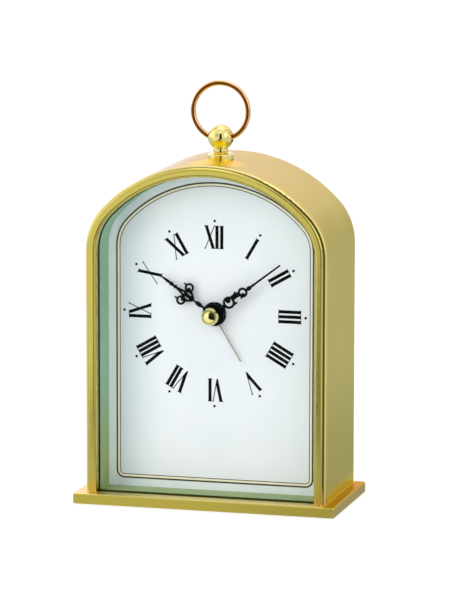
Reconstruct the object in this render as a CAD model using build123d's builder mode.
from build123d import *
import math
import os

# Arched desk alarm clock: a bent metal case on a flat base plate, with a deep-set dial behind
# flat glass, a ball finial with a ring handle, and a quartz alarm movement behind the dial.
# Millimetres. The origin is the middle of the clock's underside, +Z is up and the dial faces -Y.
# A depth is measured backwards from the front of the bezel, a height upwards from the base's top.

# Clearances
overrun = 1.0
fit_clearance = 0.05
running_clearance = 0.05
moving_clearance = 0.2

# Base plate, its felt and its screws
base_width = 120.0
base_depth = 60.0
base_height = 4.75
base_corner_radius = 1.2
base_top_radius = 0.9
base_bottom_radius = 0.5
felt_margin = 4.0
felt_corner_radius = 2.0
felt_thickness = 1.0
felt_recess_depth = 0.5
base_screw_radius = 1.5
base_screw_head_radius = 2.9
base_screw_length = 10.0
base_screw_x = 38.0
base_screw_depths = (27.0, 42.0)
screw_slot_width = 0.7
screw_slot_depth = 0.6

# Case outline: straight sides into a three-centred arch
case_width = 109.8
case_height = 148.8
case_depth = 54.9
case_wall = 0.8
case_front_margin = 2.9
case_setback = 1.9
case_front_edge_radius = 0.7
case_rear_edge_radius = 0.45
spring_height = 109.55
shoulder_radius = 26.9

# Bezel, glass, gasket and surround
bezel_gap = 0.1
bezel_band_width = 4.2
bezel_band_depth = 3.9
bezel_round_radius = 1.35
bezel_depth = 5.65
bezel_rim_wall = 1.2
glass_thickness = 1.2
gasket_thickness = 0.5
gasket_reveal = 0.3
gasket_foot_height = 0.7
surround_step = 0.35
surround_taper = 0.45
surround_wall = 1.4
surround_floor_thickness = 0.4
surround_flange_thickness = 1.2

# Dial and its print
dial_depth = 17.7
dial_thickness = 0.8
dial_inset = 3.0
dial_centre_height = 80.35
print_thickness = 0.06
border_inset = 9.4
border_line_width = 0.75
border_band_width = 0.9
border_fine_line_width = 0.35
border_bottom_height = 3.9
border_corner_radius = 3.6
numeral_foot_radius = 29.2
numeral_height = 10.4
numeral_bar_width = 1.45
numeral_hairline_width = 0.4
numeral_serif_height = 0.28
numeral_serif_reach = 0.32
hour_dot_circle_radius = 41.66
hour_dot_radius = 0.58
hours = 12

# Across each numeral: its upright bars, then the foot and head of its heavy and its fine slanted stroke
numeral_shares = {
    "I": ((-0.006,), ()),
    "II": ((-0.121, 0.096), ()),
    "III": ((-0.229, -0.015, 0.198), ()),
    "IIII": ((-0.32, -0.113, 0.094, 0.301), ()),
    "V": ((), (0.063, -0.165, 0.017, 0.254)),
    "VI": ((0.2,), (-0.08, -0.291, -0.112, 0.066)),
    "VII": ((0.06, 0.246), (-0.197, -0.392, -0.224, -0.056)),
    "VIII": ((-0.064, 0.131, 0.325), (-0.303, -0.489, -0.332, -0.173)),
    "IX": ((-0.243,), (0.264, -0.084, -0.135, 0.309)),
    "X": ((), (0.177, -0.197, -0.24, 0.235)),
    "XI": ((0.221,), (0.055, -0.283, -0.327, 0.114)),
    "XII": ((0.1, 0.31), (-0.059, -0.375, -0.422, -0.007)),
}

# Hands: lengths, heights above the dial, and outlines as shares of each length
hour_hand_length = 29.3
hour_hand_angle = 304.6
hour_hub_radius = 5.0
hour_hub_rise = 2.0
hour_hub_thickness = 1.2
hour_arm_rise = 2.6
hour_arm_thickness = 0.4
minute_hand_length = 39.2
minute_hand_angle = 52.5
minute_hub_radius = 3.8
minute_collar_radius = 2.0
minute_collar_rise = 3.5
minute_hub_rise = 4.4
minute_hub_thickness = 1.0
minute_arm_rise = 4.6
minute_arm_thickness = 0.4
alarm_hand_length = 24.1
alarm_hand_angle = 148.9
alarm_hand_rise = 1.5
alarm_hand_thickness = 0.3
alarm_hub_radius = 3.6
alarm_hand_root_width = 0.75
alarm_hand_tip_width = 0.6
hand_fit = 0.01
cap_radius = 3.9
cap_base_rise = 5.45
cap_centre_rise = 8.0

# Each station is how far along the hand it lies and the half width there
hour_stem_shares = ((0.12, 0.021), (0.22, 0.015))
hour_leaf_shares = (0, 0.271, 0.034, 0.066)
hour_heart_shares = (
    (0.32, 0.012), (0.365, 0.013), (0.386, 0.038), (0.457, 0.094), (0.498, 0.089),
    (0.546, 0.055), (0.594, 0.036), (0.69, 0.018), (0.83, 0.018),
)
hour_collar_shares = (0, 0.717, 0.034, 0.018)
hour_bead_shares = (0, 0.795, 0.032, 0.035)
hour_spear_shares = ((0.82, 0.015), (0.855, 0.023), (0.89, 0.019), (1, 0.008))
hour_scroll_shares = (0.119, 0.532)
hour_scroll_outer_share = 0.072
hour_scroll_inner_share = 0.041
hour_scroll_ball_shares = (0.087, 0.519)
hour_scroll_ball_radius_share = 0.031
hour_spur_x_share = 0.128
hour_spur_shares = ((0.585, 0.017), (0.625, 0.012), (0.642, 0.006))
hour_window_shares = ((-0.038, 0.474, 0.014, 0.039), (0.038, 0.474, 0.014, 0.039), (0, 0.57, 0.01, 0.021))
minute_stem_shares = ((0.08, 0.036), (0.155, 0.033), (0.19, 0.022), (0.2, 0.014))
minute_lower_scroll_shares = (-0.004, 0.255, 0.071, 0.044)
minute_lower_ball_shares = (-0.027, 0.26, 0.029)
minute_upper_scroll_shares = (-0.004, 0.457, 0.057, 0.031)
minute_upper_ball_shares = (0.021, 0.441, 0.024)
minute_spur_shares = (-0.057, 0.378, 0.011)
minute_block_shares = (
    (-0.051, 0.306), (0.005, 0.316), (0.01, 0.393), (0, 0.413), (-0.036, 0.413), (-0.056, 0.388),
)
minute_hook_shares = ((0.033, 0.309), (0.061, 0.286), (0.059, 0.337), (0.044, 0.338))
minute_foot_shares = ((0.019, 0.418), (0.045, 0.434), (0.047, 0.397), (0.033, 0.395))
minute_bead_shares = (0, 0.545, 0.025, 0.035)
minute_small_bead_shares = (0, 0.607, 0.016, 0.018)
minute_needle_shares = ((0.51, 0.014), (0.64, 0.012), (1, 0.0095))

# Inner frame
frame_plate_thickness = 2.0
frame_rim_thickness = 1.2
frame_post_radius = 3.5
frame_block_width = 10.0
frame_block_height = 9.0
frame_block_length = 27.5
cover_screw_places = ((-44.0, 20.0), (44.0, 20.0), (-40.0, 100.0), (40.0, 100.0))
cover_screw_radius = 1.25
cover_screw_head_radius = 2.4
cover_screw_length = 12.0

# Movement housing, placed from the dial's centre
movement_half_width = 31.0
movement_top = 26.0
movement_bottom = 38.5
movement_wall = 1.5
movement_split_depth = 36.4
movement_rear_depth = 49.0
movement_corner_radius = 2.0
movement_clearance = 0.2
bush_radius = 4.0
nut_radius = 5.4
nut_thickness = 0.9
nut_slot_width = 0.8
pillar_radius = 2.5
pillar_x = 26.5
pillar_heights = (-35.0, 23.0)
train_plate_thickness = 1.2
peg_radius = 1.5
peg_places = ((-22.0, 6.0), (22.0, 6.0), (-22.0, 20.0), (22.0, 20.0))
peg_length = 2.1
pivot_radius = 0.5
pivot_depth = 0.7

# Train: centre wheel, third wheel and a rotor that turns once a minute
wheel_thickness = 1.0
wheel_gap = 0.6
pressure_angle = 25.0
tooth_share = 0.42
wheel_addendum_share = 0.6
pinion_addendum_share = 0.8
dedendum_share = 1.05
flank_steps = 3
train_module = 0.25
centre_wheel_teeth = 64
third_pinion_teeth = 8
third_wheel_teeth = 60
rotor_pinion_teeth = 8
rotor_direction = 20.0
rotor_radius = 2.6
rotor_length = 2.6

# Motion work: 1 to 12 from the minute arbor to the hour wheel
cannon_module = 0.4
cannon_teeth = 12
motion_wheel_teeth = 36
motion_pinion_teeth = 10
hour_wheel_teeth = 40
motion_direction = -20.0
minute_arbor_radius = 1.0
pipe_wall = 0.6
motion_arbor_radius = 0.8

# Alarm setting
alarm_module = 0.4
alarm_pinion_teeth = 10
alarm_wheel_teeth = 40
alarm_direction = 200.0
alarm_arbor_radius = 0.8

# Stator, coil, circuit and buzzer
stator_bore = 3.3
stator_ring_radius = 5.6
stator_thickness = 0.8
stator_left = -10.0
stator_right = 16.0
stator_leg_width = 2.5
stator_core_width = 2.0
coil_height = 21.0
coil_radius = 3.4
coil_clearance = 0.3
board_width = 50.0
board_height = 18.0
board_centre_height = 13.0
board_thickness = 1.2
chip_radius = 3.5
chip_thickness = 0.8
chip_place = (8.0, 13.0)
crystal_radius = 1.0
crystal_length = 6.0
crystal_place = (-14.0, 10.0)
buzzer_radius = 10.0
buzzer_thickness = 3.0
buzzer_place = (-14.0, 12.5)
sound_hole_radius = 0.75
sound_hole_pitch = 3.0
sound_hole_columns = 5
sound_hole_rows = 3

# Battery, an AA cell, with its bay, contacts and door
battery_radius = 7.25
battery_length = 50.5
battery_nub_radius = 2.75
battery_nub_length = 1.3
battery_drop = 29.0
battery_clearance = 0.35
bay_wall = 0.8
contact_thickness = 0.4
contact_height = 11.0
contact_depth = 9.0
contact_spring_gap = 2.6
door_width = 58.0
door_height = 20.0
door_thickness = 1.6
door_pin_radius = 0.5
door_pin_length = 1.5
door_notch_radius = 5.0
door_notch_depth = 0.7

# Rear cover, knobs and switch
cover_setback = 0.5
cover_thickness = 2.0
cover_rim_depth = 4.0
cover_rim_wall = 1.2
knob_radius = 5.6
knob_rear_depth = 56.2
knob_flutes = 16
knob_flute_radius = 0.7
knob_clearance = 1.1
well_wall = 1.0
well_floor_thickness = 1.0
switch_place = (18.0, 14.0)
switch_plate_width = 14.0
switch_plate_height = 7.0
switch_plate_thickness = 1.6
switch_button_width = 4.0
switch_button_height = 2.8
switch_button_rise = 1.2
switch_travel = 4.0

# Finial and ring
ball_radius = 5.75
ball_height = 9.35
finial_flange_radius = 5.9
finial_flange_height = 2.1
finial_flange_round_radius = 0.6
finial_saddle_depth = 0.5
finial_neck_radius = 3.0
finial_neck_height = 1.1
finial_bead_radius = 3.45
finial_bead_height = 1.3
finial_waist_radius = 2.7
stud_radius = 1.5
stud_length = 4.6
ring_radius = 12.56
ring_wire_radius = 1.2
ring_pivot_drop = 0.18
ring_clearance = 0.15
washer_radius = 3.4
washer_thickness = 0.5
finial_nut_radius = 3.2
finial_nut_thickness = 2.2

# Places that follow from the sizes above
felt_proud = felt_thickness - felt_recess_depth
base_top = felt_proud + base_height
bezel_front_y = case_front_margin - base_depth / 2
crown_half_span = case_width / 2 - shoulder_radius
crown_rise = case_height - spring_height
crown_radius = (crown_half_span**2 + crown_rise**2 - shoulder_radius**2) / (
    2 * (crown_rise - shoulder_radius)
)
crown_centre_height = case_height - crown_radius
shoulder_turn = math.degrees(math.atan2(spring_height - crown_centre_height, crown_half_span))
inside_inset = case_wall + fit_clearance
bezel_outer_inset = case_wall + bezel_gap
bezel_inner_inset = bezel_outer_inset + bezel_band_width
rim_inner_inset = inside_inset + bezel_rim_wall
glass_inset = rim_inner_inset + fit_clearance
glass_depth = bezel_band_depth + fit_clearance
gasket_depth = glass_depth + glass_thickness
surround_depth = max(gasket_depth + gasket_thickness, bezel_depth)
frame_rim_depth = surround_depth + surround_flange_thickness
frame_plate_depth = dial_depth + dial_thickness
frame_rear_depth = frame_plate_depth + frame_plate_thickness
cover_rear_depth = case_depth - cover_setback
cover_depth = cover_rear_depth - cover_thickness
train_plate_depth = movement_split_depth - train_plate_thickness
movement_depth = frame_plate_depth
movement_inside_depth = movement_depth + movement_wall

# The wheels, from the dial backwards
alarm_wheel_depth = movement_inside_depth + wheel_gap
hour_wheel_depth = alarm_wheel_depth + wheel_thickness + wheel_gap
cannon_depth = hour_wheel_depth + wheel_thickness + wheel_gap
cannon_length = 2 * wheel_thickness
motion_wheel_depth = cannon_depth + wheel_thickness / 2
centre_wheel_depth = cannon_depth + cannon_length + wheel_gap
third_wheel_depth = centre_wheel_depth + 2 * wheel_thickness
rotor_depth = third_wheel_depth + 2 * wheel_thickness
stator_depth = rotor_depth + (rotor_length - stator_thickness) / 2
pinion_overlap = wheel_thickness / 5

hour_pipe_bore = minute_arbor_radius + running_clearance
hour_pipe_radius = hour_pipe_bore + pipe_wall
alarm_pipe_bore = hour_pipe_radius + running_clearance
alarm_pipe_radius = alarm_pipe_bore + pipe_wall
bush_bore = alarm_pipe_radius + running_clearance
third_distance = train_module * (centre_wheel_teeth + third_pinion_teeth) / 2
rotor_distance = train_module * (third_wheel_teeth + rotor_pinion_teeth) / 2
motion_distance = cannon_module * (cannon_teeth + motion_wheel_teeth) / 2
motion_module = 2 * motion_distance / (motion_pinion_teeth + hour_wheel_teeth)
alarm_distance = alarm_module * (alarm_wheel_teeth + alarm_pinion_teeth) / 2


def polar_place(distance, direction, start=(0, 0)):
    """The point a distance from start, the direction in degrees anticlockwise from +X."""
    angle = math.radians(direction)
    return (start[0] + distance * math.cos(angle), start[1] + distance * math.sin(angle))


third_place = polar_place(third_distance, 90)
rotor_place = polar_place(rotor_distance, rotor_direction, third_place)
motion_place = polar_place(motion_distance, motion_direction)
alarm_place = polar_place(alarm_distance, alarm_direction)

case_middle_y = bezel_front_y + case_depth / 2
ball_z = base_top + case_height + ball_height
ring_pivot_z = ball_z - ring_pivot_drop
ring_sagitta = ring_radius - math.sqrt(ring_radius**2 - ball_radius**2)
ring_centre_z = ring_pivot_z + ring_radius - ring_sagitta / 2
ring_hole_radius = ring_wire_radius + ring_sagitta / 2 + ring_clearance


def front_plane(depth, x=0.0, height=0.0, turn=0.0):
    """A plane that faces the front, with its own y axis turned clockwise from straight up."""
    angle = math.radians(turn)
    return Plane(
        origin=(x, bezel_front_y + depth, base_top + height),
        x_dir=(math.cos(angle), 0, -math.sin(angle)),
        z_dir=(0, -1, 0),
    )


def dial_plane(depth, place=(0, 0), turn=0.0):
    """A front plane whose origin is placed from the dial's centre."""
    return front_plane(depth, place[0], dial_centre_height + place[1], turn)


def arch(inset, bottom=0.0, mode=Mode.ADD):
    """The case's outline set in by an inset, closed by a straight line at the bottom."""
    half_width = case_width / 2 - inset
    shoulder = shoulder_radius - inset
    crown = crown_radius - inset
    with BuildLine() as outline:
        Polyline(
            (-half_width, spring_height), (-half_width, bottom), (half_width, bottom), (half_width, spring_height)
        )
        CenterArc((crown_half_span, spring_height), shoulder, 0, shoulder_turn)
        CenterArc((0, crown_centre_height), crown, shoulder_turn, 180 - 2 * shoulder_turn)
        CenterArc((-crown_half_span, spring_height), shoulder, 180 - shoulder_turn, shoulder_turn)
    make_face(outline.edges(), mode=mode)


def open_arch(outer_inset, inner_inset):
    """A band round the arch that stands on the base and has no bar along the bottom."""
    arch(outer_inset)
    arch(inner_inset, -overrun, Mode.SUBTRACT)


def border_loop(inset, width):
    """One closed loop of the dial's printed border."""
    for step, mode in ((0.0, Mode.ADD), (width, Mode.SUBTRACT)):
        with BuildSketch() as loop:
            arch(inset + step, border_bottom_height + inset + step - border_inset)
            fillet(loop.vertices().group_by(Axis.Y)[0], border_corner_radius - inset - step + border_inset)
        add(loop.sketch, mode=mode)


def outline_face(points, mode=Mode.ADD):
    """A face with straight sides through the points."""
    with BuildLine() as outline:
        Polyline(*points, close=True)
    make_face(outline.edges(), mode=mode)


def tapered_face(shares, length, x=0.0):
    """A face that is symmetrical about a line along the hand, through stations along it."""
    right = [(x + half * length, along * length) for along, half in shares]
    left = [(x - half * length, along * length) for along, half in reversed(shares)]
    outline_face(right + left)


def ellipse_face(shares, length, mode=Mode.ADD):
    """An ellipse: its centre across and along the hand, and its half width and half height."""
    across, along, half_width, half_height = [share * length for share in shares]
    with Locations((across, along)):
        if half_width > half_height:
            Ellipse(half_width, half_height, mode=mode)
        else:
            Ellipse(half_height, half_width, rotation=90, mode=mode)


def circle_face(x, y, radius, mode=Mode.ADD):
    with Locations((x, y)):
        Circle(radius, mode=mode)


def gear_outline(teeth, module, addendum_share, turn=0.0):
    """An involute gear, with the middle of a tooth on the y axis turned anticlockwise."""
    pitch_radius = teeth * module / 2
    tip_radius = pitch_radius + addendum_share * module
    root_radius = pitch_radius - dedendum_share * module
    base_radius = pitch_radius * math.cos(math.radians(pressure_angle))
    start_radius = max(base_radius, root_radius)

    def involute(radius):
        angle = math.acos(base_radius / max(radius, base_radius))
        return math.tan(angle) - angle

    def half_angle(radius):
        return tooth_share * math.pi / teeth + involute(pitch_radius) - involute(radius)

    flank = [start_radius + (tip_radius - start_radius) * step / flank_steps for step in range(flank_steps + 1)]
    if start_radius > root_radius:
        flank = [root_radius] + flank
    sides = [(radius, -half_angle(radius)) for radius in flank]
    sides += [(radius, half_angle(radius)) for radius in reversed(flank)]
    points = []
    for tooth in range(teeth):
        middle = math.radians(turn + 360 * tooth / teeth) + math.pi / 2
        for radius, angle in sides:
            points.append((radius * math.cos(middle + angle), radius * math.sin(middle + angle)))
    outline_face(points)


def tooth_towards(direction):
    """The turn that puts a tooth on the line in this direction."""
    return direction - 90


def gap_towards(direction, teeth):
    """The turn that puts a gap on the line in this direction."""
    return direction - 90 + 180 / teeth


def box_between(low_x, high_x, low_height, high_height):
    """A rectangle between two corners, on a plane placed from the dial's centre."""
    with Locations(((low_x + high_x) / 2, (low_height + high_height) / 2)):
        Rectangle(high_x - low_x, high_height - low_height)


def screw_head(radius, head_radius, length):
    """A countersunk screw with its head's face at z = 0 and its shank along -z."""
    head_height = head_radius - radius
    Cylinder(radius, length, align=(Align.CENTER, Align.CENTER, Align.MAX))
    Cone(radius, head_radius, head_height, align=(Align.CENTER, Align.CENTER, Align.MAX))
    Box(
        2 * head_radius, screw_slot_width, screw_slot_depth,
        align=(Align.CENTER, Align.CENTER, Align.MAX), mode=Mode.SUBTRACT,
    )


# Base plate: the felt lies in a shallow recess, and countersunk screws come up through it
base_screw_places = [(side * base_screw_x, bezel_front_y + depth) for side in (-1, 1) for depth in base_screw_depths]
base_screw_z = felt_proud + felt_recess_depth
base_screw_spots = [Location((x, y, base_screw_z), (180, 0, 0)) for x, y in base_screw_places]

with BuildPart() as base_plate:
    with BuildSketch(Plane.XY.offset(felt_proud)):
        RectangleRounded(base_width, base_depth, base_corner_radius)
    extrude(amount=base_height)
    fillet(base_plate.edges().group_by(Axis.Z)[-1], base_top_radius)
    fillet(base_plate.edges().group_by(Axis.Z)[0], base_bottom_radius)
    with BuildSketch(Plane.XY.offset(felt_proud)):
        RectangleRounded(base_width - 2 * felt_margin, base_depth - 2 * felt_margin, felt_corner_radius)
    extrude(amount=felt_recess_depth, mode=Mode.SUBTRACT)
    with Locations(*base_screw_spots):
        CounterSinkHole(base_screw_radius + fit_clearance, base_screw_head_radius + fit_clearance)
base_plate.part.label = "base_plate"

with BuildPart() as base_felt:
    with BuildSketch():
        RectangleRounded(
            base_width - 2 * (felt_margin + fit_clearance),
            base_depth - 2 * (felt_margin + fit_clearance),
            felt_corner_radius,
        )
    extrude(amount=felt_thickness)
base_felt.part.label = "base_felt"

with BuildPart() as base_screws:
    with Locations(*base_screw_spots):
        screw_head(base_screw_radius, base_screw_head_radius, base_screw_length)
base_screws.part.label = "base_screws"

# Case shell: the rounded outer block first, then the hollow right through it
with BuildPart() as case_shell:
    with BuildSketch(front_plane(case_setback)):
        arch(0)
    extrude(amount=case_setback - case_depth)
    fillet(case_shell.faces().sort_by(Axis.Y)[0].edges().sort_by(Axis.Z)[1:], case_front_edge_radius)
    fillet(case_shell.faces().sort_by(Axis.Y)[-1].edges().sort_by(Axis.Z)[1:], case_rear_edge_radius)
    with BuildSketch(front_plane(case_setback - overrun)):
        arch(case_wall, -overrun)
    extrude(amount=case_setback - case_depth - 2 * overrun, mode=Mode.SUBTRACT)
    with BuildSketch(Plane.XY.offset(base_top + crown_centre_height)):
        circle_face(0, case_middle_y, stud_radius + fit_clearance)
    extrude(amount=crown_radius + overrun, mode=Mode.SUBTRACT)
case_shell.part.label = "case_shell"

# Front bezel: a rounded band with a thin rim behind it that holds the glass
with BuildPart() as front_bezel:
    with BuildSketch(front_plane(0)):
        arch(bezel_outer_inset)
    extrude(amount=-bezel_band_depth)
    fillet(front_bezel.faces().sort_by(Axis.Y)[0].edges().sort_by(Axis.Z)[1:], bezel_round_radius)
    with BuildSketch(front_plane(-overrun)):
        arch(bezel_inner_inset, -overrun)
    extrude(amount=-bezel_band_depth - 2 * overrun, mode=Mode.SUBTRACT)
    inner_edges = front_bezel.edges(Select.LAST).group_by(Axis.Y)[0]
    fillet([edge for edge in inner_edges if edge.center().Z > base_top + overrun], bezel_round_radius)
    with BuildSketch(front_plane(bezel_band_depth)):
        open_arch(inside_inset, rim_inner_inset)
    extrude(amount=bezel_band_depth - bezel_depth)
front_bezel.part.label = "front_bezel"

with BuildPart() as glass_pane:
    with BuildSketch(front_plane(glass_depth)):
        arch(glass_inset)
    extrude(amount=-glass_thickness)
glass_pane.part.label = "glass_pane"

with BuildPart() as glass_gasket:
    with BuildSketch(front_plane(gasket_depth)):
        arch(glass_inset)
        arch(bezel_inner_inset + gasket_reveal, gasket_foot_height, Mode.SUBTRACT)
    extrude(amount=gasket_depth - surround_depth)
glass_gasket.part.label = "glass_gasket"

# Dial surround: a channel that narrows a little towards the dial, with a flange at its front
surround_front_inset = bezel_inner_inset + surround_step
surround_rear_inset = surround_front_inset + surround_taper
with BuildPart() as dial_surround:
    with BuildSketch(front_plane(surround_depth)):
        arch(inside_inset)
    extrude(amount=-surround_flange_thickness)
    with BuildSketch(front_plane(frame_rim_depth)):
        arch(surround_front_inset - surround_wall)
    extrude(amount=frame_rim_depth - dial_depth)
    with BuildSketch(front_plane(surround_depth)):
        arch(surround_front_inset, surround_floor_thickness)
    with BuildSketch(front_plane(dial_depth)):
        arch(surround_rear_inset, surround_floor_thickness)
    loft(mode=Mode.SUBTRACT)
dial_surround.part.label = "dial_surround"

with BuildPart() as dial_plate:
    with BuildSketch(front_plane(dial_depth)):
        arch(dial_inset)
    extrude(amount=-dial_thickness)
    with BuildSketch(dial_plane(dial_depth)):
        Circle(bush_radius + fit_clearance)
    extrude(amount=-dial_thickness, mode=Mode.SUBTRACT)
dial_plate.part.label = "dial_plate"

# Printed border: a heavy line, a cream band and a fine line, each a thin raised loop
border_band_inset = border_inset + border_line_width
border_fine_inset = border_band_inset + border_band_width
with BuildPart() as dial_border_lines:
    with BuildSketch(front_plane(dial_depth)):
        border_loop(border_inset, border_line_width)
    extrude(amount=print_thickness)
    with BuildSketch(front_plane(dial_depth)):
        border_loop(border_fine_inset, border_fine_line_width)
    extrude(amount=print_thickness)
dial_border_lines.part.label = "dial_border_lines"

with BuildPart() as dial_border_band:
    with BuildSketch(front_plane(dial_depth)):
        border_loop(border_band_inset, border_band_width)
    extrude(amount=print_thickness / 2)
dial_border_band.part.label = "dial_border_band"


# Numerals: heavy strokes with fine serifs, and hairlines for the second strokes of V and X
numeral_head_radius = numeral_foot_radius + numeral_height
numeral_half_bar = numeral_bar_width / 2
numeral_half_hairline = numeral_hairline_width / 2


def stroke(foot_x, head_x, half):
    """A stroke from the foot of a numeral to its head."""
    outline_face(
        (
            (foot_x - half, numeral_foot_radius),
            (foot_x + half, numeral_foot_radius),
            (head_x + half, numeral_head_radius),
            (head_x - half, numeral_head_radius),
        )
    )


def serif(x, half, at_head):
    """A fine bar across one end of a stroke."""
    inside = numeral_serif_height / 2
    with Locations((x, numeral_head_radius - inside if at_head else numeral_foot_radius + inside)):
        Rectangle(2 * (half + numeral_serif_reach), numeral_serif_height)


def v_heavy_stroke(foot_x, head_x, fine_foot_x, fine_head_x):
    """The heavy stroke of a V, cut to a point at its foot by the fine stroke's outer edge."""
    fine_edge_x = fine_foot_x + numeral_half_hairline
    share = (foot_x + numeral_half_bar - fine_edge_x) / (fine_head_x - fine_foot_x - head_x + foot_x)
    outline_face(
        (
            (foot_x - numeral_half_bar, numeral_foot_radius),
            (fine_edge_x, numeral_foot_radius),
            (fine_edge_x + share * (fine_head_x - fine_foot_x), numeral_foot_radius + share * numeral_height),
            (head_x + numeral_half_bar, numeral_head_radius),
            (head_x - numeral_half_bar, numeral_head_radius),
        )
    )


def numeral_face(numeral):
    bars, slanted = numeral_shares[numeral]
    if slanted:
        foot_x, head_x, fine_foot_x, fine_head_x = [share * numeral_height for share in slanted]
        if "V" in numeral:
            v_heavy_stroke(foot_x, head_x, fine_foot_x, fine_head_x)
        else:
            stroke(foot_x, head_x, numeral_half_bar)
            serif(foot_x, numeral_half_bar, False)
            serif(fine_foot_x, numeral_half_hairline, False)
        stroke(fine_foot_x, fine_head_x, numeral_half_hairline)
        serif(head_x, numeral_half_bar, True)
        serif(fine_head_x, numeral_half_hairline, True)
    for share in bars:
        stroke(share * numeral_height, share * numeral_height, numeral_half_bar)
        for at_head in (False, True):
            serif(share * numeral_height, numeral_half_bar, at_head)


with BuildPart() as hour_numerals:
    for hour, numeral in enumerate(numeral_shares, start=1):
        with BuildSketch(dial_plane(dial_depth, turn=360 * hour / hours)):
            numeral_face(numeral)
            circle_face(0, hour_dot_circle_radius, hour_dot_radius)
        extrude(amount=print_thickness)
hour_numerals.part.label = "hour_numerals"

# Hands: each is a hub on its pipe and an arm of its own outline
with BuildPart() as alarm_hand:
    with BuildSketch(dial_plane(dial_depth - alarm_hand_rise, turn=alarm_hand_angle)):
        Circle(alarm_hub_radius)
        outline_face(
            (
                (-alarm_hand_root_width / 2, 0),
                (alarm_hand_root_width / 2, 0),
                (alarm_hand_tip_width / 2, alarm_hand_length),
                (-alarm_hand_tip_width / 2, alarm_hand_length),
            )
        )
        Circle(alarm_pipe_radius + hand_fit, mode=Mode.SUBTRACT)
    extrude(amount=alarm_hand_thickness)
alarm_hand.part.label = "alarm_hand"

with BuildPart() as hour_hand:
    with BuildSketch(dial_plane(dial_depth - hour_hub_rise)):
        Circle(hour_hub_radius)
    extrude(amount=hour_hub_thickness)
    fillet(hour_hand.faces().sort_by(Axis.Y)[0].edges(), hour_hub_thickness / 4)
    with BuildSketch(dial_plane(dial_depth - hour_arm_rise, turn=hour_hand_angle)):
        for side in (-1, 1):
            scroll_x = side * hour_scroll_shares[0] * hour_hand_length
            scroll_y = hour_scroll_shares[1] * hour_hand_length
            circle_face(scroll_x, scroll_y, hour_scroll_outer_share * hour_hand_length)
            circle_face(scroll_x, scroll_y, hour_scroll_inner_share * hour_hand_length, Mode.SUBTRACT)
        tapered_face(hour_stem_shares, hour_hand_length)
        ellipse_face(hour_leaf_shares, hour_hand_length)
        tapered_face(hour_heart_shares, hour_hand_length)
        ellipse_face(hour_collar_shares, hour_hand_length)
        ellipse_face(hour_bead_shares, hour_hand_length)
        tapered_face(hour_spear_shares, hour_hand_length)
        for side in (-1, 1):
            circle_face(
                side * hour_scroll_ball_shares[0] * hour_hand_length,
                hour_scroll_ball_shares[1] * hour_hand_length,
                hour_scroll_ball_radius_share * hour_hand_length,
            )
            tapered_face(hour_spur_shares, hour_hand_length, side * hour_spur_x_share * hour_hand_length)
        for window in hour_window_shares:
            ellipse_face(window, hour_hand_length, Mode.SUBTRACT)
    extrude(amount=hour_arm_thickness)
    with BuildSketch(dial_plane(dial_depth)):
        Circle(hour_pipe_radius + hand_fit)
    extrude(amount=hour_hub_rise + hour_hub_thickness + overrun, mode=Mode.SUBTRACT)
hour_hand.part.label = "hour_hand"

with BuildPart() as minute_hand:
    with BuildSketch(dial_plane(dial_depth - minute_hub_rise)):
        Circle(minute_hub_radius)
    extrude(amount=minute_hub_thickness)
    fillet(minute_hand.faces().sort_by(Axis.Y)[0].edges(), minute_hub_thickness / 4)
    with BuildSketch(dial_plane(dial_depth - minute_collar_rise)):
        Circle(minute_collar_radius)
    extrude(amount=minute_hub_rise - minute_collar_rise)
    with BuildSketch(dial_plane(dial_depth - minute_arm_rise, turn=minute_hand_angle)):
        for shares in (minute_lower_scroll_shares, minute_upper_scroll_shares):
            across, along, outer, inner = [share * minute_hand_length for share in shares]
            circle_face(across, along, outer)
            circle_face(across, along, inner, Mode.SUBTRACT)
        tapered_face(minute_stem_shares, minute_hand_length)
        for shares in (minute_lower_ball_shares, minute_upper_ball_shares, minute_spur_shares):
            circle_face(*[share * minute_hand_length for share in shares])
        for shares in (minute_block_shares, minute_hook_shares, minute_foot_shares):
            outline_face([(across * minute_hand_length, along * minute_hand_length) for across, along in shares])
        ellipse_face(minute_bead_shares, minute_hand_length)
        ellipse_face(minute_small_bead_shares, minute_hand_length)
        tapered_face(minute_needle_shares, minute_hand_length)
    extrude(amount=minute_arm_thickness)
    with BuildSketch(dial_plane(dial_depth - minute_collar_rise)):
        Circle(minute_arbor_radius + hand_fit)
    extrude(amount=minute_hub_rise + minute_hub_thickness, mode=Mode.SUBTRACT)
minute_hand.part.label = "minute_hand"

# Cap: a ball with a flat seat, screwed on the end of the minute arbor
cap_rise = cap_centre_rise - cap_base_rise
with BuildPart() as hand_cap:
    with Locations((0, bezel_front_y + dial_depth - cap_centre_rise, base_top + dial_centre_height)):
        Sphere(cap_radius)
    split(bisect_by=dial_plane(dial_depth - cap_base_rise), keep=Keep.TOP)
    with BuildSketch(dial_plane(dial_depth - cap_base_rise)):
        Circle(minute_arbor_radius + hand_fit)
    extrude(amount=cap_rise, mode=Mode.SUBTRACT)
hand_cap.part.label = "hand_cap"

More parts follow.
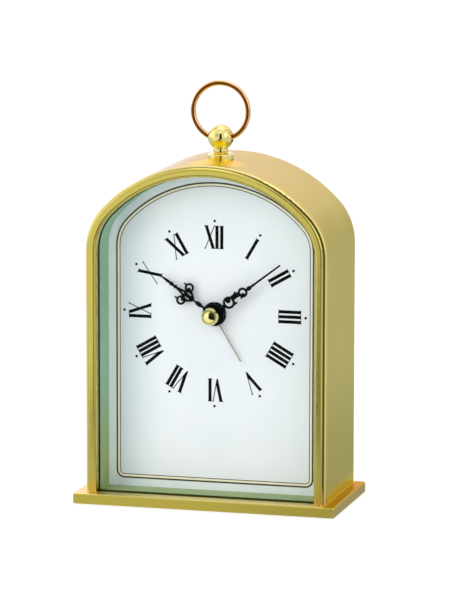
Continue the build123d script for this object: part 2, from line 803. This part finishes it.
# Inner frame: plate and rim inside the case, posts for the cover's screws, blocks for the base's
frame_post_spots = [front_plane(frame_plate_depth, x, height) for x, height in cover_screw_places]
with BuildPart() as inner_frame:
    with BuildSketch(front_plane(frame_rim_depth)):
        open_arch(inside_inset, inside_inset + frame_rim_thickness)
    extrude(amount=frame_rim_depth - frame_plate_depth)
    with BuildSketch(front_plane(frame_plate_depth)):
        arch(inside_inset)
    extrude(amount=-frame_plate_thickness)
    with BuildSketch(*frame_post_spots):
        Circle(frame_post_radius)
    extrude(amount=frame_plate_depth - cover_depth)
    for side in (-1, 1):
        with BuildSketch(front_plane(frame_plate_depth, side * base_screw_x, frame_block_height / 2)):
            Rectangle(frame_block_width, frame_block_height)
        extrude(amount=-frame_plate_thickness - frame_block_length)
    with BuildSketch(dial_plane(frame_plate_depth)):
        box_between(
            -movement_half_width - movement_clearance,
            movement_half_width + movement_clearance,
            -movement_bottom - movement_clearance,
            movement_top + movement_clearance,
        )
    extrude(amount=-frame_plate_thickness, mode=Mode.SUBTRACT)
    with BuildSketch(*[front_plane(cover_depth, x, height) for x, height in cover_screw_places]):
        Circle(cover_screw_radius + fit_clearance)
    extrude(amount=cover_screw_length, mode=Mode.SUBTRACT)
    with BuildSketch(Plane.XY.offset(base_top)):
        with Locations(*base_screw_places):
            Circle(base_screw_radius + fit_clearance)
    extrude(amount=base_screw_z + base_screw_length + moving_clearance - base_top, mode=Mode.SUBTRACT)
inner_frame.part.label = "inner_frame"


# Movement housing: two moulded shells that meet behind the wheels
def housing_rectangle(inset=0.0):
    """The housing's outline, set in by an inset."""
    box_between(
        inset - movement_half_width, movement_half_width - inset, inset - movement_bottom, movement_top - inset
    )


arbor_places = (
    (third_place, pivot_radius),
    (rotor_place, pivot_radius),
    (motion_place, motion_arbor_radius),
    (alarm_place, alarm_arbor_radius),
)
with BuildPart() as movement_front_case:
    with BuildSketch(dial_plane(movement_depth)):
        housing_rectangle()
    extrude(amount=movement_depth - movement_split_depth)
    fillet(movement_front_case.edges().filter_by(Axis.Y), movement_corner_radius)
    with BuildSketch(dial_plane(movement_inside_depth)):
        housing_rectangle(movement_wall)
    extrude(amount=movement_inside_depth - movement_split_depth, mode=Mode.SUBTRACT)
    pillars = [dial_plane(movement_inside_depth, (side * pillar_x, height)) for side in (-1, 1) for height in pillar_heights]
    with BuildSketch(*pillars):
        Circle(pillar_radius)
    extrude(amount=movement_inside_depth - train_plate_depth)
    with BuildSketch(dial_plane(movement_depth)):
        Circle(bush_radius)
    extrude(amount=dial_thickness + nut_thickness)
    with BuildSketch(dial_plane(movement_inside_depth)):
        Circle(bush_bore)
    extrude(amount=movement_wall + dial_thickness + nut_thickness, mode=Mode.SUBTRACT)
    for place, radius in arbor_places:
        with BuildSketch(dial_plane(movement_inside_depth, place)):
            Circle(radius + running_clearance)
        extrude(amount=pivot_depth, mode=Mode.SUBTRACT)
movement_front_case.part.label = "movement_front_case"

with BuildPart() as movement_nut:
    with BuildSketch(dial_plane(dial_depth)):
        Circle(nut_radius)
        Circle(bush_radius + fit_clearance, mode=Mode.SUBTRACT)
        with PolarLocations(nut_radius, 4):
            Rectangle(nut_slot_width, nut_slot_width, mode=Mode.SUBTRACT)
    extrude(amount=nut_thickness)
movement_nut.part.label = "movement_nut"

with BuildPart() as train_plate:
    with BuildSketch(dial_plane(train_plate_depth)):
        housing_rectangle(movement_wall + moving_clearance)
        Circle(minute_arbor_radius + running_clearance, mode=Mode.SUBTRACT)
        for place, radius in arbor_places:
            circle_face(*place, radius + running_clearance, Mode.SUBTRACT)
    extrude(amount=-train_plate_thickness)
    with BuildSketch(*[dial_plane(movement_split_depth, place) for place in peg_places]):
        Circle(peg_radius)
    extrude(amount=-peg_length)
train_plate.part.label = "train_plate"

# Rear shell: the room for the circuit above, and the battery's bay open to the back below
battery_depth = movement_split_depth + bay_wall + battery_clearance / 2 + battery_radius
bay_half_height = battery_radius + battery_clearance
bay_left = -battery_length / 2 - contact_spring_gap - contact_thickness
bay_right = battery_length / 2 + fit_clearance + contact_thickness
bay_places = (bay_left - fit_clearance, bay_right + fit_clearance, -battery_drop - bay_half_height, bay_half_height - battery_drop)
with BuildPart() as movement_rear_case:
    with BuildSketch(dial_plane(movement_split_depth)):
        housing_rectangle()
    extrude(amount=movement_split_depth - movement_rear_depth)
    fillet(movement_rear_case.edges().filter_by(Axis.Y), movement_corner_radius)
    with BuildSketch(dial_plane(movement_split_depth)):
        box_between(
            movement_wall - movement_half_width,
            movement_half_width - movement_wall,
            bay_half_height - battery_drop + movement_wall,
            movement_top - movement_wall,
        )
    extrude(amount=movement_split_depth - movement_rear_depth + movement_wall, mode=Mode.SUBTRACT)
    with BuildSketch(dial_plane(movement_split_depth + bay_wall)):
        box_between(*bay_places)
    extrude(amount=movement_split_depth - movement_rear_depth, mode=Mode.SUBTRACT)
    with BuildSketch(dial_plane(movement_rear_depth)):
        circle_face(*motion_place, motion_arbor_radius + running_clearance)
        circle_face(*alarm_place, alarm_arbor_radius + running_clearance)
        with Locations(buzzer_place):
            with GridLocations(sound_hole_pitch, sound_hole_pitch, sound_hole_columns, sound_hole_rows):
                Circle(sound_hole_radius)
    extrude(amount=movement_wall, mode=Mode.SUBTRACT)
movement_rear_case.part.label = "movement_rear_case"

# Arbors and wheels. Each pair of gears shares a line of centres, a tooth on one in a gap of the other
front_pivot_depth = movement_inside_depth - pivot_depth + moving_clearance
with BuildPart() as minute_arbor:
    with BuildSketch(dial_plane(movement_split_depth)):
        Circle(minute_arbor_radius)
    extrude(amount=movement_split_depth - dial_depth + cap_base_rise + cap_rise / 2)
    with BuildSketch(dial_plane(cannon_depth)):
        gear_outline(cannon_teeth, cannon_module, pinion_addendum_share, tooth_towards(motion_direction))
    extrude(amount=-cannon_length)
minute_arbor.part.label = "minute_arbor"

with BuildPart() as centre_wheel:
    with BuildSketch(dial_plane(centre_wheel_depth)):
        gear_outline(centre_wheel_teeth, train_module, wheel_addendum_share, gap_towards(90, centre_wheel_teeth))
        Circle(minute_arbor_radius + hand_fit, mode=Mode.SUBTRACT)
    extrude(amount=-wheel_thickness)
centre_wheel.part.label = "centre_wheel"

with BuildPart() as third_wheel:
    with BuildSketch(dial_plane(third_wheel_depth, third_place)):
        gear_outline(
            third_wheel_teeth, train_module, wheel_addendum_share, gap_towards(rotor_direction, third_wheel_teeth)
        )
    extrude(amount=-wheel_thickness)
    with BuildSketch(dial_plane(third_wheel_depth, third_place)):
        gear_outline(third_pinion_teeth, train_module, pinion_addendum_share, tooth_towards(-90))
    extrude(amount=third_wheel_depth - centre_wheel_depth + pinion_overlap)
    with BuildSketch(dial_plane(front_pivot_depth, third_place)):
        Circle(pivot_radius)
    extrude(amount=front_pivot_depth - movement_split_depth)
third_wheel.part.label = "third_wheel"

with BuildPart() as rotor:
    with BuildSketch(dial_plane(rotor_depth, rotor_place)):
        Circle(rotor_radius)
    extrude(amount=-rotor_length)
    with BuildSketch(dial_plane(rotor_depth, rotor_place)):
        gear_outline(
            rotor_pinion_teeth, train_module, pinion_addendum_share, tooth_towards(rotor_direction + 180)
        )
    extrude(amount=rotor_depth - third_wheel_depth + pinion_overlap)
    with BuildSketch(dial_plane(front_pivot_depth, rotor_place)):
        Circle(pivot_radius)
    extrude(amount=front_pivot_depth - movement_split_depth)
rotor.part.label = "rotor"

knob_front_depth = movement_rear_depth + moving_clearance + well_floor_thickness + moving_clearance
knob_seat_depth = knob_front_depth + (knob_rear_depth - knob_front_depth) / 2
with BuildPart() as motion_wheel:
    with BuildSketch(dial_plane(motion_wheel_depth, motion_place)):
        gear_outline(
            motion_wheel_teeth, cannon_module, wheel_addendum_share,
            gap_towards(motion_direction + 180, motion_wheel_teeth),
        )
    extrude(amount=-wheel_thickness)
    with BuildSketch(dial_plane(motion_wheel_depth, motion_place)):
        gear_outline(
            motion_pinion_teeth, motion_module, pinion_addendum_share, tooth_towards(motion_direction + 180)
        )
    extrude(amount=motion_wheel_depth - hour_wheel_depth + pinion_overlap)
    with BuildSketch(dial_plane(front_pivot_depth, motion_place)):
        Circle(motion_arbor_radius)
    extrude(amount=front_pivot_depth - knob_seat_depth)
motion_wheel.part.label = "motion_wheel"

with BuildPart() as hour_wheel:
    with BuildSketch(dial_plane(hour_wheel_depth)):
        gear_outline(
            hour_wheel_teeth, motion_module, wheel_addendum_share, gap_towards(motion_direction, hour_wheel_teeth)
        )
        Circle(hour_pipe_bore, mode=Mode.SUBTRACT)
    extrude(amount=-wheel_thickness)
    with BuildSketch(dial_plane(hour_wheel_depth)):
        Circle(hour_pipe_radius)
        Circle(hour_pipe_bore, mode=Mode.SUBTRACT)
    extrude(amount=hour_wheel_depth - dial_depth + hour_hub_rise + hour_hub_thickness + fit_clearance)
hour_wheel.part.label = "hour_wheel"

with BuildPart() as alarm_wheel:
    with BuildSketch(dial_plane(alarm_wheel_depth)):
        gear_outline(
            alarm_wheel_teeth, alarm_module, wheel_addendum_share, gap_towards(alarm_direction, alarm_wheel_teeth)
        )
        Circle(alarm_pipe_bore, mode=Mode.SUBTRACT)
    extrude(amount=-wheel_thickness)
    with BuildSketch(dial_plane(alarm_wheel_depth)):
        Circle(alarm_pipe_radius)
        Circle(alarm_pipe_bore, mode=Mode.SUBTRACT)
    extrude(amount=alarm_wheel_depth - dial_depth + alarm_hand_rise + alarm_hand_thickness + fit_clearance)
alarm_wheel.part.label = "alarm_wheel"

with BuildPart() as alarm_set_arbor:
    with BuildSketch(dial_plane(alarm_wheel_depth - pinion_overlap, alarm_place)):
        gear_outline(
            alarm_pinion_teeth, alarm_module, pinion_addendum_share, tooth_towards(alarm_direction + 180)
        )
    extrude(amount=-wheel_thickness - 2 * pinion_overlap)
    with BuildSketch(dial_plane(front_pivot_depth, alarm_place)):
        Circle(alarm_arbor_radius)
    extrude(amount=front_pivot_depth - knob_seat_depth)
alarm_set_arbor.part.label = "alarm_set_arbor"

# Stator, coil, circuit board, crystal and buzzer
stator_inner_left = stator_left + stator_leg_width
stator_inner_right = stator_right - stator_leg_width
with BuildPart() as stator_core:
    with BuildSketch(dial_plane(stator_depth)):
        circle_face(*rotor_place, stator_ring_radius)
        box_between(
            stator_left, stator_right, rotor_place[1] - stator_leg_width / 2, rotor_place[1] + stator_leg_width / 2
        )
        for low_x, high_x in ((stator_left, stator_inner_left), (stator_inner_right, stator_right)):
            box_between(low_x, high_x, rotor_place[1] - stator_leg_width / 2, coil_height + stator_core_width / 2)
        box_between(stator_left, stator_right, coil_height - stator_core_width / 2, coil_height + stator_core_width / 2)
        circle_face(*rotor_place, stator_bore, Mode.SUBTRACT)
    extrude(amount=-stator_thickness)
stator_core.part.label = "stator_core"

with BuildPart() as coil_winding:
    with BuildSketch(
        Plane(
            origin=(
                stator_inner_left + coil_clearance,
                bezel_front_y + stator_depth + stator_thickness / 2,
                base_top + dial_centre_height + coil_height,
            ),
            x_dir=(0, 1, 0),
            z_dir=(1, 0, 0),
        )
    ):
        Circle(coil_radius)
        Rectangle(stator_thickness + 2 * fit_clearance, stator_core_width + 2 * fit_clearance, mode=Mode.SUBTRACT)
    extrude(amount=stator_inner_right - stator_inner_left - 2 * coil_clearance)
coil_winding.part.label = "coil_winding"

board_depth = movement_split_depth + peg_length
with BuildPart() as circuit_board:
    with BuildSketch(dial_plane(board_depth, (0, board_centre_height))):
        Rectangle(board_width, board_height)
    extrude(amount=-board_thickness)
    with BuildSketch(dial_plane(board_depth + board_thickness, chip_place)):
        Circle(chip_radius)
    extrude(amount=-chip_thickness)
circuit_board.part.label = "circuit_board"

crystal_y = bezel_front_y + board_depth + board_thickness + crystal_radius + fit_clearance
crystal_z = base_top + dial_centre_height + crystal_place[1]
with BuildPart() as quartz_crystal:
    with Locations((crystal_place[0], crystal_y, crystal_z)):
        Cylinder(crystal_radius, crystal_length, rotation=(0, 90, 0))
quartz_crystal.part.label = "quartz_crystal"

with BuildPart() as buzzer:
    with BuildSketch(dial_plane(movement_rear_depth - movement_wall - fit_clearance, buzzer_place)):
        Circle(buzzer_radius)
    extrude(amount=buzzer_thickness)
buzzer.part.label = "buzzer"

# Battery and its contacts
battery_y = bezel_front_y + battery_depth
battery_z = base_top + dial_centre_height - battery_drop


def cross_plane(x):
    """A plane across the battery's length that faces +X."""
    return Plane(origin=(x, battery_y, battery_z), x_dir=(0, 1, 0), z_dir=(1, 0, 0))


with BuildPart() as battery_cell:
    with BuildSketch(cross_plane(-battery_length / 2)):
        Circle(battery_radius)
    extrude(amount=battery_length - battery_nub_length)
    fillet(battery_cell.edges().filter_by(GeomType.CIRCLE), battery_nub_length / 2)
    with BuildSketch(cross_plane(battery_length / 2 - battery_nub_length)):
        Circle(battery_nub_radius)
    extrude(amount=battery_nub_length)
battery_cell.part.label = "battery_cell"

with BuildPart() as battery_contact_positive:
    with BuildSketch(cross_plane(bay_right - contact_thickness)):
        Rectangle(contact_depth, contact_height)
    extrude(amount=contact_thickness)
battery_contact_positive.part.label = "battery_contact_positive"

# The negative contact is a leaf spring: a flat back with a tongue bent out to the battery's end
spring_tip_x = -battery_length / 2 - fit_clearance
spring_points = (
    (bay_left, -contact_height / 2),
    (bay_left + contact_thickness, -contact_height / 2),
    (spring_tip_x, 0),
    (bay_left + 2 * contact_thickness, contact_height / 2),
    (bay_left, contact_height / 2),
    (bay_left, contact_height / 2 - contact_thickness),
    (spring_tip_x - contact_thickness, 0),
    (bay_left + contact_thickness, contact_thickness - contact_height / 2),
    (bay_left, contact_thickness - contact_height / 2),
)
with BuildPart() as battery_contact_negative:
    with BuildSketch(front_plane(battery_depth, 0, dial_centre_height - battery_drop)):
        outline_face(spring_points)
    extrude(amount=contact_depth / 2, both=True)
battery_contact_negative.part.label = "battery_contact_negative"

# Rear cover: panel with a rim, wells for the knobs, and openings for the door, switch and sound
door_bottom = -battery_drop - door_height / 2
door_axis_height = door_bottom + moving_clearance + door_thickness / 2
door_axis_depth = cover_depth + cover_thickness / 2
well_radius = knob_radius + knob_clearance
well_front_depth = movement_rear_depth + moving_clearance
cover_screw_spots = [
    Location((x, bezel_front_y + cover_rear_depth, base_top + height), (-90, 0, 0)) for x, height in cover_screw_places
]


def side_plane(x, depth, height):
    """A plane that faces +X, with its own y axis up."""
    return Plane(
        origin=(x, bezel_front_y + depth, base_top + dial_centre_height + height), x_dir=(0, 1, 0), z_dir=(1, 0, 0)
    )


with BuildPart() as rear_cover:
    with BuildSketch(front_plane(cover_depth)):
        arch(inside_inset)
    extrude(amount=-cover_thickness)
    with BuildSketch(front_plane(cover_depth)):
        open_arch(inside_inset, inside_inset + cover_rim_wall)
    extrude(amount=cover_rim_depth)
    with BuildSketch(dial_plane(cover_depth, motion_place), dial_plane(cover_depth, alarm_place)):
        Circle(well_radius + well_wall)
    extrude(amount=cover_depth - well_front_depth)
    with BuildSketch(dial_plane(cover_rear_depth, motion_place), dial_plane(cover_rear_depth, alarm_place)):
        Circle(well_radius)
    extrude(amount=cover_rear_depth - well_front_depth - well_floor_thickness, mode=Mode.SUBTRACT)
    with BuildSketch(dial_plane(cover_rear_depth)):
        circle_face(*motion_place, motion_arbor_radius + 2 * running_clearance)
        circle_face(*alarm_place, alarm_arbor_radius + 2 * running_clearance)
    extrude(amount=cover_rear_depth - well_front_depth + overrun, mode=Mode.SUBTRACT)
    with BuildSketch(dial_plane(cover_rear_depth)):
        box_between(-door_width / 2, door_width / 2, door_bottom, door_bottom + door_height)
        box_between(
            switch_place[0] - switch_button_width / 2 - moving_clearance,
            switch_place[0] + switch_button_width / 2 + switch_travel + moving_clearance,
            switch_place[1] - switch_button_height / 2 - moving_clearance,
            switch_place[1] + switch_button_height / 2 + moving_clearance,
        )
        with Locations(buzzer_place):
            with GridLocations(sound_hole_pitch, sound_hole_pitch, sound_hole_columns, sound_hole_rows):
                Circle(sound_hole_radius)
    extrude(amount=cover_thickness, mode=Mode.SUBTRACT)
    with BuildSketch(side_plane(-door_width / 2 - door_pin_length, door_axis_depth, door_axis_height)):
        Circle(door_pin_radius + running_clearance)
    extrude(amount=door_width + 2 * door_pin_length, mode=Mode.SUBTRACT)
    with Locations(*cover_screw_spots):
        CounterSinkHole(cover_screw_radius + fit_clearance, cover_screw_head_radius + fit_clearance, cover_thickness)
rear_cover.part.label = "rear_cover"

with BuildPart() as rear_cover_screws:
    with Locations(*cover_screw_spots):
        screw_head(cover_screw_radius, cover_screw_head_radius, cover_screw_length)
rear_cover_screws.part.label = "rear_cover_screws"

# Battery door: hinged on two pins along its bottom edge, which is round about them
door_half_length = door_width / 2 - moving_clearance
door_top = door_bottom + door_height - moving_clearance
with BuildPart() as battery_door:
    with BuildSketch(side_plane(-door_half_length, door_axis_depth, door_axis_height)):
        Circle(door_thickness / 2)
        box_between(-door_thickness / 2, door_thickness / 2, 0, door_top - door_axis_height)
    extrude(amount=2 * door_half_length)
    with BuildSketch(dial_plane(door_axis_depth + door_thickness / 2, (0, door_top))):
        Circle(door_notch_radius)
    extrude(amount=door_notch_depth, mode=Mode.SUBTRACT)
    with BuildSketch(
        side_plane(-door_half_length - door_pin_length + moving_clearance, door_axis_depth, door_axis_height)
    ):
        Circle(door_pin_radius)
    extrude(amount=2 * (door_half_length + door_pin_length - moving_clearance))
battery_door.part.label = "battery_door"

knob_parts = {}
for knob_name, place, arbor_radius in (
    ("time_set_knob", motion_place, motion_arbor_radius),
    ("alarm_set_knob", alarm_place, alarm_arbor_radius),
):
    with BuildPart() as knob:
        with BuildSketch(dial_plane(knob_front_depth, place)):
            Circle(knob_radius)
            with PolarLocations(knob_radius, knob_flutes):
                Circle(knob_flute_radius, mode=Mode.SUBTRACT)
        extrude(amount=knob_front_depth - knob_rear_depth)
        with BuildSketch(dial_plane(knob_front_depth, place)):
            Circle(arbor_radius + hand_fit)
        extrude(amount=knob_front_depth - knob_seat_depth, mode=Mode.SUBTRACT)
    knob.part.label = knob_name
    knob_parts[knob_name] = knob

switch_front_depth = cover_depth - moving_clearance - switch_plate_thickness
with BuildPart() as alarm_switch:
    with BuildSketch(dial_plane(switch_front_depth, (switch_place[0], switch_place[1]))):
        Rectangle(switch_plate_width, switch_plate_height)
    extrude(amount=-switch_plate_thickness)
    with BuildSketch(dial_plane(switch_front_depth, (switch_place[0], switch_place[1]))):
        Rectangle(switch_button_width, switch_button_height)
    extrude(amount=switch_front_depth - cover_rear_depth - switch_button_rise)
alarm_switch.part.label = "alarm_switch"

# Finial: turned flange, neck, bead and ball, with a saddle cut under the flange and a stud below it
flange_z = base_top + case_height
neck_z = flange_z + finial_flange_height
bead_z = neck_z + finial_neck_height
with BuildPart() as finial:
    with Locations((0, case_middle_y, flange_z - finial_saddle_depth)):
        Cylinder(
            finial_flange_radius, finial_flange_height + finial_saddle_depth,
            align=(Align.CENTER, Align.CENTER, Align.MIN),
        )
    fillet(finial.edges().group_by(Axis.Z)[-1], finial_flange_round_radius)
    with Locations((0, case_middle_y, neck_z)):
        Cone(
            finial_flange_radius - finial_flange_round_radius, finial_neck_radius, finial_neck_height,
            align=(Align.CENTER, Align.CENTER, Align.MIN),
        )
    with Locations((0, case_middle_y, bead_z)):
        Cylinder(finial_bead_radius, finial_bead_height, align=(Align.CENTER, Align.CENTER, Align.MIN))
    fillet(
        finial.edges().filter_by(GeomType.CIRCLE).group_by(Axis.Z)[-1],
        finial_bead_height / 3,
    )
    with Locations((0, case_middle_y, bead_z)):
        Cylinder(finial_waist_radius, ball_z - bead_z, align=(Align.CENTER, Align.CENTER, Align.MIN))
    with Locations((0, case_middle_y, ball_z)):
        Sphere(ball_radius)
    with BuildSketch(front_plane(0)):
        arch(0)
    extrude(amount=-case_depth, mode=Mode.SUBTRACT)
    with Locations((0, case_middle_y, flange_z)):
        Cylinder(stud_radius, case_wall + stud_length, align=(Align.CENTER, Align.CENTER, Align.MAX))
    with Locations((0, case_middle_y, ring_pivot_z)):
        Cylinder(ring_hole_radius, 2 * ball_radius + overrun, rotation=(0, 90, 0), mode=Mode.SUBTRACT)
finial.part.label = "finial"

with BuildPart() as ring_handle:
    with Locations((0, case_middle_y, ring_centre_z)):
        Torus(ring_radius, ring_wire_radius, rotation=(90, 0, 0))
ring_handle.part.label = "ring_handle"

# Under the crown the washer touches the roof's inside at its rim
roof_drop = (crown_radius - case_wall) - math.sqrt((crown_radius - case_wall) ** 2 - washer_radius**2)
washer_top_z = flange_z - case_wall - roof_drop
with BuildPart() as finial_washer:
    with BuildSketch(Plane.XY.offset(washer_top_z)):
        circle_face(0, case_middle_y, washer_radius)
        circle_face(0, case_middle_y, stud_radius + fit_clearance, Mode.SUBTRACT)
    extrude(amount=-washer_thickness)
finial_washer.part.label = "finial_washer"

with BuildPart() as finial_nut:
    with BuildSketch(Plane.XY.offset(washer_top_z - washer_thickness)):
        with Locations((0, case_middle_y)):
            RegularPolygon(finial_nut_radius, 6)
        circle_face(0, case_middle_y, stud_radius + fit_clearance, Mode.SUBTRACT)
    extrude(amount=-finial_nut_thickness)
finial_nut.part.label = "finial_nut"

os.makedirs("parts", exist_ok=True)
for piece in (
    base_plate, base_felt, base_screws, case_shell, front_bezel, glass_pane, glass_gasket, dial_surround,
    dial_plate, dial_border_lines, dial_border_band, hour_numerals, alarm_hand, hour_hand, minute_hand,
    hand_cap, inner_frame, movement_front_case, movement_nut, train_plate, movement_rear_case,
    minute_arbor, centre_wheel, third_wheel, rotor, motion_wheel, hour_wheel, alarm_wheel,
    alarm_set_arbor, stator_core, coil_winding, circuit_board, quartz_crystal, buzzer, battery_cell,
    battery_contact_positive, battery_contact_negative, rear_cover, rear_cover_screws, battery_door,
    *knob_parts.values(), alarm_switch, finial, ring_handle, finial_washer, finial_nut,
):
    export_step(piece.part, f"parts/{piece.part.label}.step")
